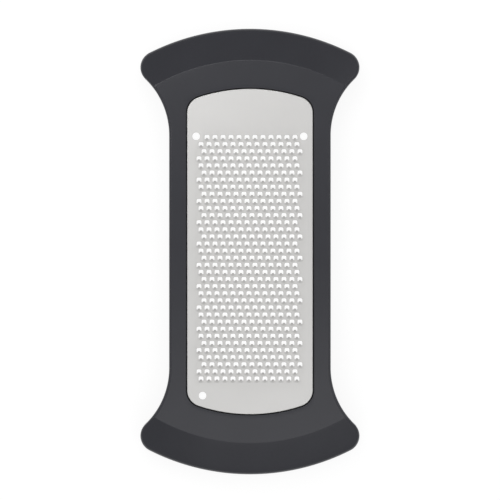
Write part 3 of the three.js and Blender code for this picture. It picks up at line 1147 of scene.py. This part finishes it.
@dataclass(frozen=True)
class Tooth:
    """One cell of the field of teeth, about the middle of its slot: the slot, a ramp and a tongue.

    The marks say how far the sheet is etched, from 0 to 1: on the cell's border, on a rim just
    outside the slot, on the slot's edge, on the ramp, on the tongue's root and on the tongue.
    On the ramp, the tongue's root and the tongue they are partly painted shade.
    """

    plan: GraterPlan
    cell_drop: float = 0.55 * MM
    arch_steps: int = 8
    arch_power: float = 0.62
    leg_shares: Pair = (0.4, 0.8)
    corner_share: float = 0.06
    edge_dip: float = 0.03 * MM
    rim_share: float = 0.2
    ramp_run: float = 1.15 * MM
    ramp_rise: float = 0.42 * MM
    ramp_spread: float = 1.04
    tongue_half: float = 0.82 * MM
    tongue_reach: float = 0.75 * MM
    tongue_rise: float = 0.85 * MM
    tongue_lines: Triple = (0.36, 0.7, 1.0)
    tongue_power: float = 1.6
    tip_share: float = 0.03
    tip_sheet: float = 0.1 * MM
    border_mark: float = 0.3
    rim_mark: float = 0.4
    edge_mark: float = 0.47
    # Etch on the ramp, the tongue's root and the tongue, deepened as painted shade.
    ramp_etch_and_shade: tuple[float, ...] = (0.42, 0.5, 0.54, 0.5, 0.42)
    root_etch_and_shade: tuple[float, ...] = (0.48, 0.58, 0.62, 0.58, 0.48)
    tongue_etch_and_shade: float = 0.62
    marks_along: Triple = (0.85, 0.7, 0.15)
    marks_across: tuple[float, ...] = (0.15, 0.8, 1.0, 0.8, 0.15)

    def border(self) -> Array:
        """Plan points round the cell, clockwise from beside its rear left corner.

        Returns:
            Points of shape (count, 2): steps along the front and rear, and one on each side.
        """
        half_x, half_y = self.plan.tooth_pitch / 2, self.plan.row_pitch / 2
        across = np.linspace(-half_x, half_x, self.plan.steps_per_pitch + 1)
        rear = np.column_stack([across, np.full(len(across), half_y)])
        loop = np.concatenate([rear, [[half_x, 0.0]], (rear * [1, -1])[::-1], [[-half_x, 0.0]]])
        return np.roll(loop, -1, axis=0) - [0.0, self.cell_drop]

    def slot(self, foot: Array) -> Array:
        """Plan points round the slot: an arch, half of a superellipse on straight legs, and its foot.

        Args:
            foot: Points along the slot's foot, from right to left.

        Returns:
            As many points as the cell's border has.
        """
        wide, long = self.plan.slot_width / 2, self.plan.slot_length / 2
        turn = np.linspace(math.pi, 0.0, self.arch_steps + 1)
        x = wide * np.sign(np.cos(turn)) * np.abs(np.cos(turn)) ** self.arch_power
        arch = np.column_stack([x, long * np.sin(turn) ** self.arch_power])
        leg = np.array([[wide, -share * long] for share in self.leg_shares])
        return np.concatenate([arch[1:], leg, foot, (leg * [-1, 1])[::-1], arch[:1]])

    def etch_and_shade_marks(self, count: int, root: slice) -> Array:
        """Marks of the cell's points: three loops, and then the tongue line by line.

        Args:
            count: Number of points in each loop.
            root: Where the tongue's root lies in the slot's loop, and the ramp in the rim's.

        Returns:
            One mark for each point.
        """
        loops = np.repeat([self.border_mark, self.rim_mark, self.edge_mark], count).reshape(-1, count)
        loops[1:, root] = self.ramp_etch_and_shade, self.root_etch_and_shade
        tongue = self.tongue_etch_and_shade * np.outer(self.marks_along, self.marks_across)
        return np.concatenate([loops.ravel(), tongue.ravel()])

    def shape(self) -> tuple[Array, Array, Array, Array]:
        """Lay out the cell as three loops and a tongue: its border, a rim round the slot, and the slot.

        The middle points of the slot's foot are the tongue's root. The sheet ramps up to them, as
        1 - (x / half)^2 of the ramp's rise, and the tongue runs on up to its tip: at the share t
        of its reach its half width has fallen by t^power, and its height rises evenly.

        Returns:
            Places, drops to the lower skin, marks and quads of the cell.
        """
        wide, long, sheet = self.plan.slot_width / 2, self.plan.slot_length / 2, self.plan.sheet
        corner = wide - self.corner_share * wide
        root_x = np.linspace(1, -1, len(self.root_etch_and_shade)) * self.tongue_half
        foot_x = np.concatenate([[corner], root_x, [-corner]])
        foot = np.column_stack([foot_x, np.full(len(foot_x), -long)])
        border, slot = self.border(), self.slot(foot)
        start = self.arch_steps + len(self.leg_shares)
        stop = start + len(foot)
        root = slice(start + 1, stop - 1)
        rim = slot + self.rim_share * (border - slot)
        rim[start:stop] = foot * [self.ramp_spread, 1.0] - [0.0, self.ramp_run]
        climb = self.ramp_rise * (1 - (root_x / wide) ** 2)
        height = np.full(len(slot), -self.edge_dip)
        height[start:stop] = np.pad(climb, 1)
        share = np.array(self.tongue_lines)[:, None]
        x = root_x * (1 + self.tip_share - share**self.tongue_power)
        y = np.broadcast_to(share * self.tongue_reach - long, x.shape)
        tongue = np.stack([x, y, climb + share * (self.tongue_rise - climb)], axis=-1).reshape(-1, 3)
        loops = [at_height(border, 0.0), at_height(rim, 0.0), at_height(slot, height)]
        points = np.concatenate([*loops, tongue])
        numbers = np.arange(len(points) - len(tongue)).reshape(len(loops), -1)
        beyond = np.arange(numbers.size, len(points)).reshape(x.shape)
        rows = np.concatenate([numbers[-1:, root], beyond])
        thin = np.repeat(sheet + (self.tip_sheet - sheet) * share, len(root_x))
        thick = np.concatenate([np.full(numbers.size, sheet), thin])
        drops = np.column_stack([np.zeros((len(thick), 2)), -thick])
        faces = np.concatenate([quads(numbers, columns_meet=True), quads(rows)])
        return points, drops, self.etch_and_shade_marks(len(slot), root), faces


@dataclass
class Blade:
    """The etched blade: staggered slots with raised tongues, tooling holes, bent edge and brim."""

    plan: GraterPlan
    finish: EtchedSteel
    tooth: Tooth
    top: float = 21.4 * MM
    bend: float = 0.43 * MM
    bend_margin: float = 0.4 * MM
    bend_steps: int = 8
    brim_top: float = 19.7 * MM
    brim_width: float = 2.2 * MM
    hole: float = 4.0 * MM
    hole_steps: int = 48
    rear_hole_side: float = 4.95 * MM
    rear_hole_end: float = 25.6 * MM
    front_hole_side: float = 8.4 * MM
    front_hole_end: float = 10.1 * MM

    @property
    def holes(self) -> Array:
        """Middles of the tooling holes: one at each side of the rear end and one at the front left."""
        x, rear = self.plan.blade_half - self.rear_hole_side, self.plan.blade_end - self.rear_hole_end
        front = self.front_hole_side - self.plan.blade_half, self.front_hole_end - self.plan.blade_end
        return np.array([[-x, rear], [x, rear], front])

    def row(self, number: int) -> Array:
        """Middles of the slots of one row, without one that would run into a tooling hole.

        Args:
            number: The row's number from the rear end.

        Returns:
            Plan points of shape (count, 2).
        """
        plan = self.plan
        step = plan.row_steps[number % len(plan.row_steps)] / plan.steps_per_pitch
        pitches = np.arange(plan.teeth_per_row) + step - plan.row_spread / 2
        y = np.full(plan.teeth_per_row, plan.first_row - number * plan.row_pitch)
        middles = np.column_stack([pitches * plan.tooth_pitch + plan.field_shift, y])
        away = np.linalg.norm(middles[:, None] - self.holes, axis=-1).min(axis=1)
        return middles[away > (self.hole + plan.tooth_pitch) / 2]

    def field_edge(self, rows: list[Array]) -> Array:
        """Plan loop round the staggered cells, through every corner that a cell has on it.

        Args:
            rows: Middles of the slots of each row.

        Returns:
            Plan points of shape (count, 2).
        """
        half_x, half_y = self.plan.tooth_pitch / 2, self.plan.row_pitch / 2
        step = self.plan.tooth_pitch / self.plan.steps_per_pitch

        def level(start: float, stop: float, y: float) -> Array:
            """Points from start, up to but not at stop, a step of the pitch apart."""
            count = round(abs(stop - start) / step)
            return np.column_stack([np.linspace(start, stop, count, endpoint=False), np.full(count, y)])

        def flight(side: int, order: list[Array], way: int) -> list[Array]:
            """Points along one side of the field, with the steps between its rows.

            Args:
                side: 1 for the right side or -1 for the left.
                order: The rows in the order in which they are passed.
                way: 1 where that is up in Y or -1 where it is down.

            Returns:
                Stretches of plan points.
            """
            ends = [row[-1 if side > 0 else 0] + [side * half_x, 0.0] for row in order]
            parts: list[Array] = []
            for here, after in zip(ends, ends[1:] + [ends[-1]]):
                parts.append(np.array([here + [0.0, -way * half_y], here]))
                parts.append(level(here[0], after[0], here[1] + way * half_y))
            return parts

        first, last = rows[0], rows[-1]
        over = level(first[0, 0] - half_x, first[-1, 0] + half_x, first[0, 1] + half_y)
        under = level(last[-1, 0] + half_x, last[0, 0] - half_x, last[0, 1] - half_y)
        return np.concatenate([over, *flight(1, rows, -1), under, *flight(-1, rows[::-1], 1)])

    def build(self) -> bpy.types.Object:
        """Lay out the upper skin, from the cells out to the brim, and give it the sheet's thickness.

        A level margin lies round the cells and the tooling holes. From it the sheet bends down in
        a quarter round, with drops that turn with it, to the side and out again to the brim.

        Returns:
            The blade as one closed mesh.
        """
        plan, outline, skin = self.plan, self.plan.blade_outline, Patchwork()
        rows = [self.row(number) for number in range(plan.row_count)]
        middles = np.concatenate(rows)
        points, drops, marks, faces = self.tooth.shape()
        cells = points + at_height(middles, self.top)[:, None]
        faces = faces + len(points) * np.arange(len(middles))[:, None, None]
        skin.patch(cells.reshape(-1, 3), faces.reshape(-1, 4), np.tile(marks, len(middles)))
        flat = self.bend + self.bend_margin
        turn = np.linspace(0.0, 2 * math.pi, self.hole_steps, endpoint=False)
        circle = self.hole / 2 * np.column_stack([np.cos(turn), np.sin(turn)])
        border = self.field_edge(rows) - [0.0, self.tooth.cell_drop]
        loops = [outline.inset(flat), border, *(circle + middle for middle in self.holes)]
        skin.level(loops, self.top)
        down, out = np.array([0.0, 0.0, -1.0]), at_height(outline.normals, 0.0)
        level, margin = (np.tile(down, (count, 1)) for count in (len(out), sum(map(len, loops))))
        rings, falls = [outline.raised(flat, self.top)], [margin, level]
        for angle in quarter_turns(self.bend_steps):
            height = self.top - self.bend * (1 - math.cos(angle))
            rings.append(outline.raised(self.bend * (1 - math.sin(angle)), height))
            falls.append(math.cos(angle) * down - math.sin(angle) * out)
        rings += [outline.raised(depth, self.brim_top) for depth in (0.0, -self.brim_width)]
        falls += [down - out, level]
        skin.grid(np.array(rings), columns_meet=True)
        drops = np.concatenate([np.tile(drops, (len(middles), 1)), plan.sheet * np.concatenate(falls)])
        return skin.sheet("blade_sheet", Mark.ETCH, drops)

    def dress(self, piece: bpy.types.Object) -> None:
        """Give the blade its steel."""
        dressed(piece, ("blade",), self.finish)


@dataclass(frozen=True)
class Softbox:
    """A rectangular lamp that looks at the middle of the grater."""

    name: str
    place: Triple
    size: Pair
    radiance: float

    def hang(self) -> None:
        """Add the lamp. Its power is radiance times its area times pi."""
        lamp = bpy.data.lights.new(self.name, "AREA")
        lamp.shape = "RECTANGLE"
        lamp.size, lamp.size_y = self.size
        lamp.energy = self.radiance * self.size[0] * self.size[1] * math.pi
        holder = bpy.data.objects.new(self.name, lamp)
        holder.location = self.place
        holder.rotation_euler = (-Vector(self.place)).to_track_quat("-Z", "Y").to_euler()
        holder.visible_camera = False
        bpy.context.scene.collection.objects.link(holder)


@dataclass
class Studio:
    """White table, soft light from above and a camera that looks straight down."""

    lens: float = 400.0
    sensor: float = 36.0
    far: float = 20.0
    frame_width: float = 269.54 * MM
    focus_height: float = 15.0 * MM
    look_at: Pair = (0.03 * MM, 0.84 * MM)
    sky: float = 0.5
    table_half: float = 3.0
    table_tone: float = 0.9
    table_glow: float = 0.86
    table_veil: float = 0.2
    lit_glow: float = 0.94
    lit_half: Pair = (33.0 * MM, 88.0 * MM)
    lit_fade: float = 8.0 * MM
    lamps: tuple[Softbox, ...] = (
        Softbox("rear_top", (0.0, 0.11, 0.5), (0.6, 0.1), 0.48),
        Softbox("front_top", (0.0, -0.1, 0.5), (0.6, 0.1), 0.57),
        Softbox("rear_strip", (-0.093, 0.185, 0.300), (0.394, 0.085), 2.95),
        Softbox("front_box", (0.034, -0.209, 0.303), (0.309, 0.351), 0.62),
        Softbox("left_box", (-0.282, -0.056, 0.250), (0.237, 0.082), 0.7),
        Softbox("right_strip", (0.403, 0.116, 0.362), (0.788, 0.103), 1.2),
    )

    def table(self) -> None:
        """Lay the table, which looks white where light falls on it and keeps the object's shadow.

        Where it is seen, a glow and a pale veil that takes light and shadow add up to white. Under
        the blade it glows more, as if lit from below, so that the slots and holes look as white as
        the table round the object.
        """
        lines: list[Array] = []
        for half in self.lit_half:
            stops = np.array([half, half + self.lit_fade, self.table_half])
            lines.append(np.concatenate([-stops[::-1], stops]))
        lit = np.array([0.0, 0.0, 1.0, 1.0, 0.0, 0.0])
        across, along = np.meshgrid(*lines, indexing="ij")
        sheet = Patchwork()
        sheet.grid(np.stack([across, along, np.zeros_like(across)], axis=-1), np.outer(lit, lit))
        table = sheet.mesh("table", Mark.GLOW)
        material = bpy.data.materials.new("table_white")
        tree = ShaderTree(material)
        camera, glossy, transmitted = (
            tree.node("ShaderNodeLightPath", output=name)
            for name in ("Is Camera Ray", "Is Glossy Ray", "Is Transmission Ray")
        )
        plain, veil = (
            tree.node("ShaderNodeBsdfDiffuse", {}, {"Color": (tone, tone, tone, 1.0)})
            for tone in (self.table_tone, self.table_veil)
        )
        light = tree.blend(tree.mark(Mark.GLOW), (self.table_glow,) * 3, (self.lit_glow,) * 3)
        glow = tree.node("ShaderNodeEmission", {}, {"Color": light, "Strength": 1.0})
        seen = tree.node("ShaderNodeAddShader", {}, {0: glow, 1: veil})
        shares = {0: camera + glossy + transmitted, 1: plain, 2: seen}
        tree.surface(tree.node("ShaderNodeMixShader", {}, shares))
        table.data.materials.append(material)

    def sky_light(self) -> None:
        """Set an even pale sky."""
        world = bpy.data.worlds.new("studio")
        bpy.context.scene.world = world
        tree = ShaderTree(world)
        inputs = {"Color": (1.0, 1.0, 1.0, 1.0), "Strength": self.sky}
        light = tree.node("ShaderNodeBackground", {}, inputs)
        tree.node("ShaderNodeOutputWorld", {}, {"Surface": light})

    def camera(self) -> None:
        """Hang the camera over the grater, so high that frame_width fills the picture."""
        data = bpy.data.cameras.new("camera")
        data.lens, data.sensor_width, data.clip_end = self.lens, self.sensor, self.far
        camera = bpy.data.objects.new("camera", data)
        camera.location = (*self.look_at, self.focus_height + self.frame_width * self.lens / self.sensor)
        bpy.context.scene.collection.objects.link(camera)
        bpy.context.scene.camera = camera

    def set_up(self) -> None:
        """Build the table, sky, lamps and camera."""
        bpy.context.scene.view_settings.view_transform = "Standard"
        self.table()
        self.sky_light()
        for lamp in self.lamps:
            lamp.hang()
        self.camera()


def main() -> None:
    """Build the grater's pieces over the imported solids, dress them and set up the studio."""
    logging.basicConfig(level=logging.INFO, format="%(name)s: %(message)s")
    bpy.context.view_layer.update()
    plan = GraterPlan()
    frame_plastic = MouldedPlastic(
        "frame_plastic", deep=(0.0222, 0.0228, 0.0296), pale=(0.0256, 0.0262, 0.0338)
    )
    base_plastic = MouldedPlastic(
        "base_plastic", deep=(0.026, 0.0265, 0.030), pale=(0.036, 0.0365, 0.041), roughness=0.6
    )
    rubber = SoftRubber("grip_rubber", deep=(0.014, 0.0145, 0.016), pale=(0.034, 0.0345, 0.036))
    steel = EtchedSteel("blade_steel", sheet=(0.672, 0.666, 0.656), etched=(0.423, 0.417, 0.409))
    for part in (
        UpperShell(plan, frame_plastic),
        LowerShell(plan, base_plastic),
        Blade(plan, steel, Tooth(plan)),
        *(RimGrip(plan, rubber, end) for end in End),
    ):
        piece = part.build()
        part.dress(piece)
        mesh = piece.data
        LOG.info("%s: %d points, %d faces", piece.name, len(mesh.vertices), len(mesh.polygons))
    Studio().set_up()


if __name__ == "__main__":
    main()
